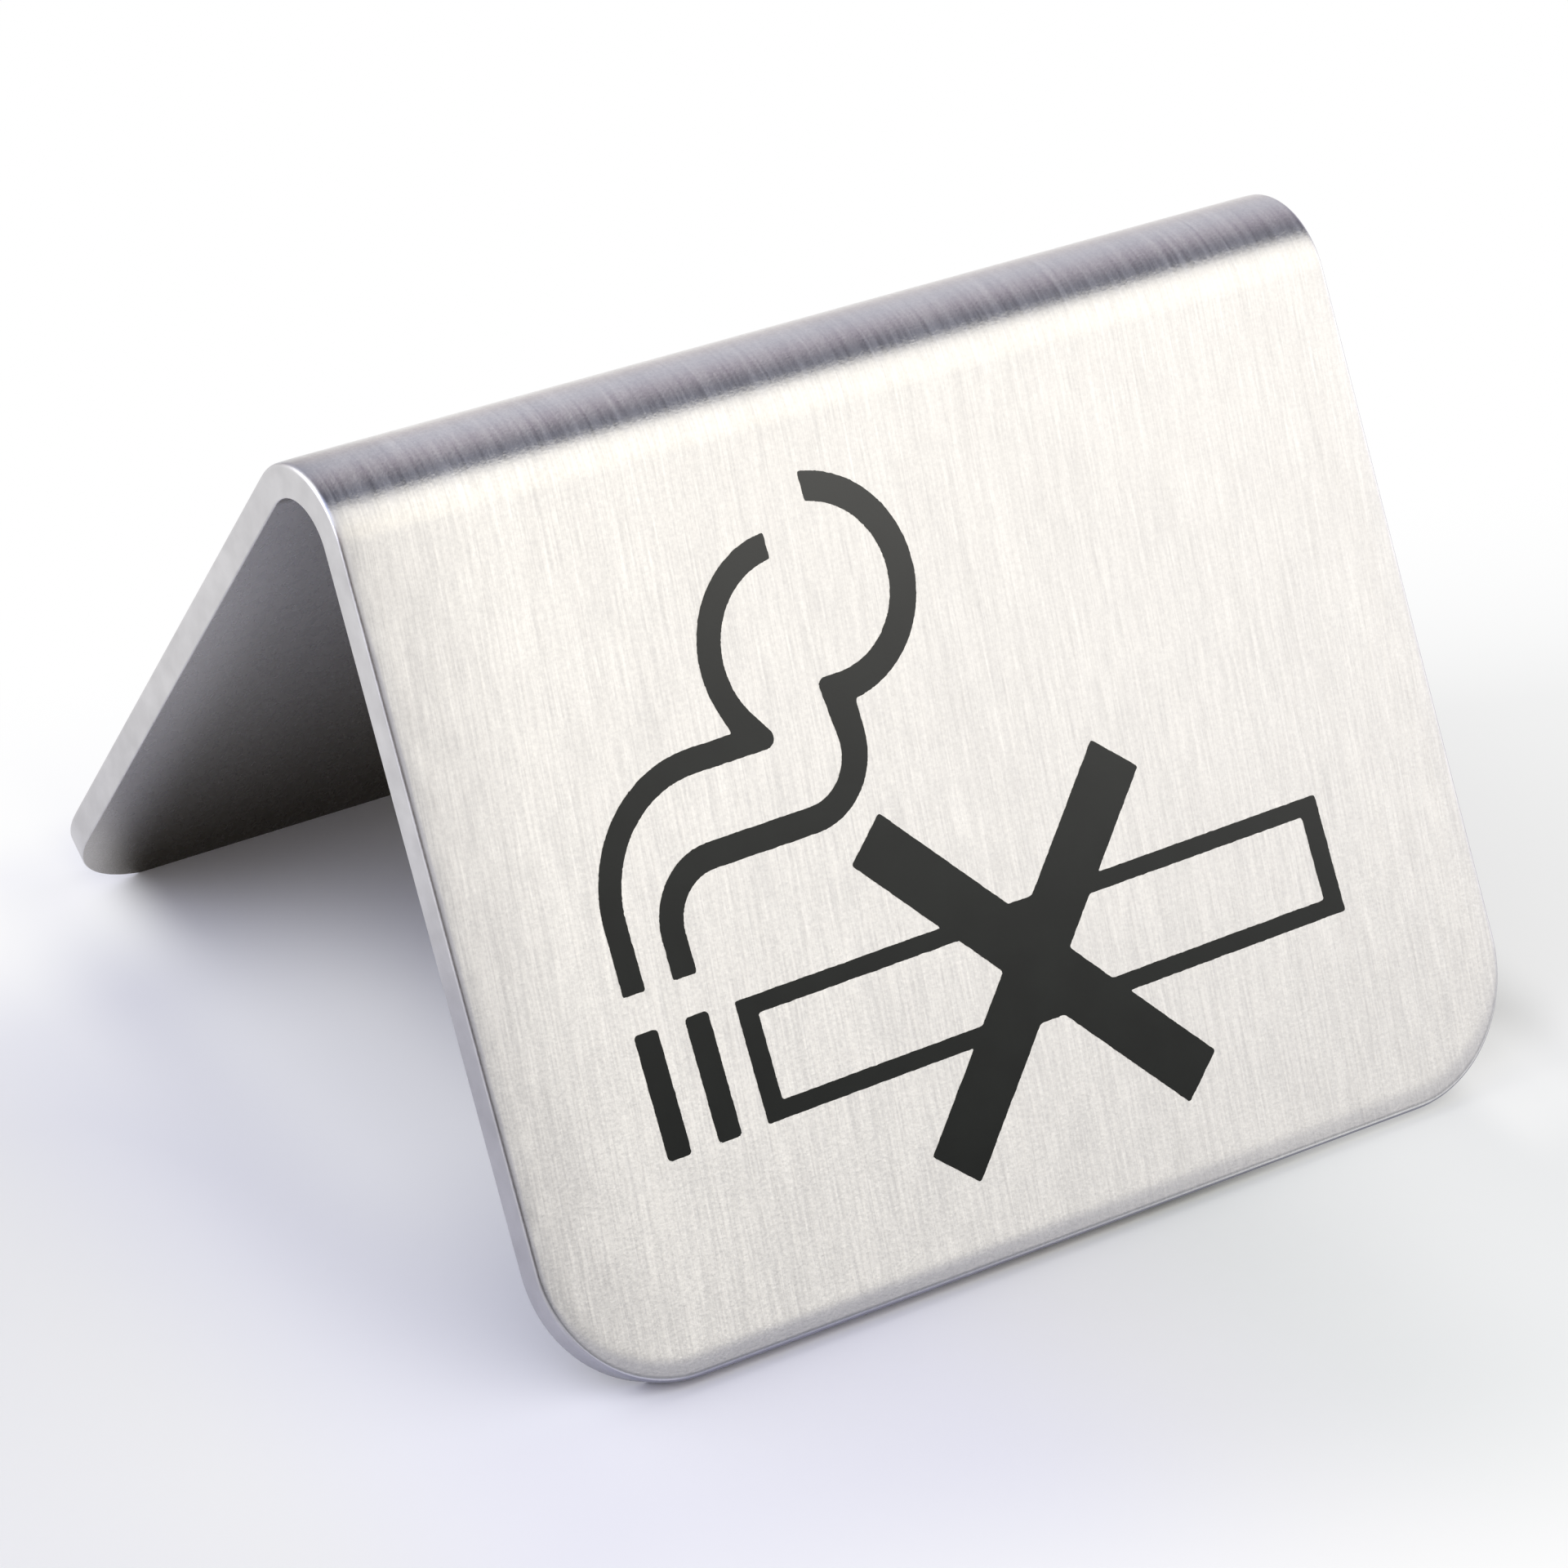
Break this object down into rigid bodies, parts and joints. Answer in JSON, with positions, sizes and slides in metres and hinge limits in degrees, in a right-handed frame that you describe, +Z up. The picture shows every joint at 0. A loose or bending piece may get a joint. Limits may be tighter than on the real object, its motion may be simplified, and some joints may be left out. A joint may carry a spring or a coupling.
{
  "type": "no smoking table sign",
  "caption": "Small table sign: a brushed steel sheet folded into a tent, with a crossed-out cigarette and its smoke in black on the front leg.",
  "frame": {"origin": "on the table, under the middle of the fold, halfway between the two lower edges", "axes": "+X along the fold to the right as the print is read, -Y the way the printed leg faces, +Z up"},
  "size_m": [0.05, 0.0458, 0.0333],
  "materials": {
    "brushed_steel": "stainless steel, brushed down the leg, satin",
    "black_enamel": "matt greenish black print"
  },
  "bodies": {
    "root": {"folded_sheet": "brushed_steel", "crossed_cigarette": "black_enamel", "ember_bar_inner": "black_enamel", "ember_bar_outer": "black_enamel", "smoke_wisp_inner": "black_enamel", "smoke_wisp_outer": "black_enamel"}
  },
  "joints": []
}
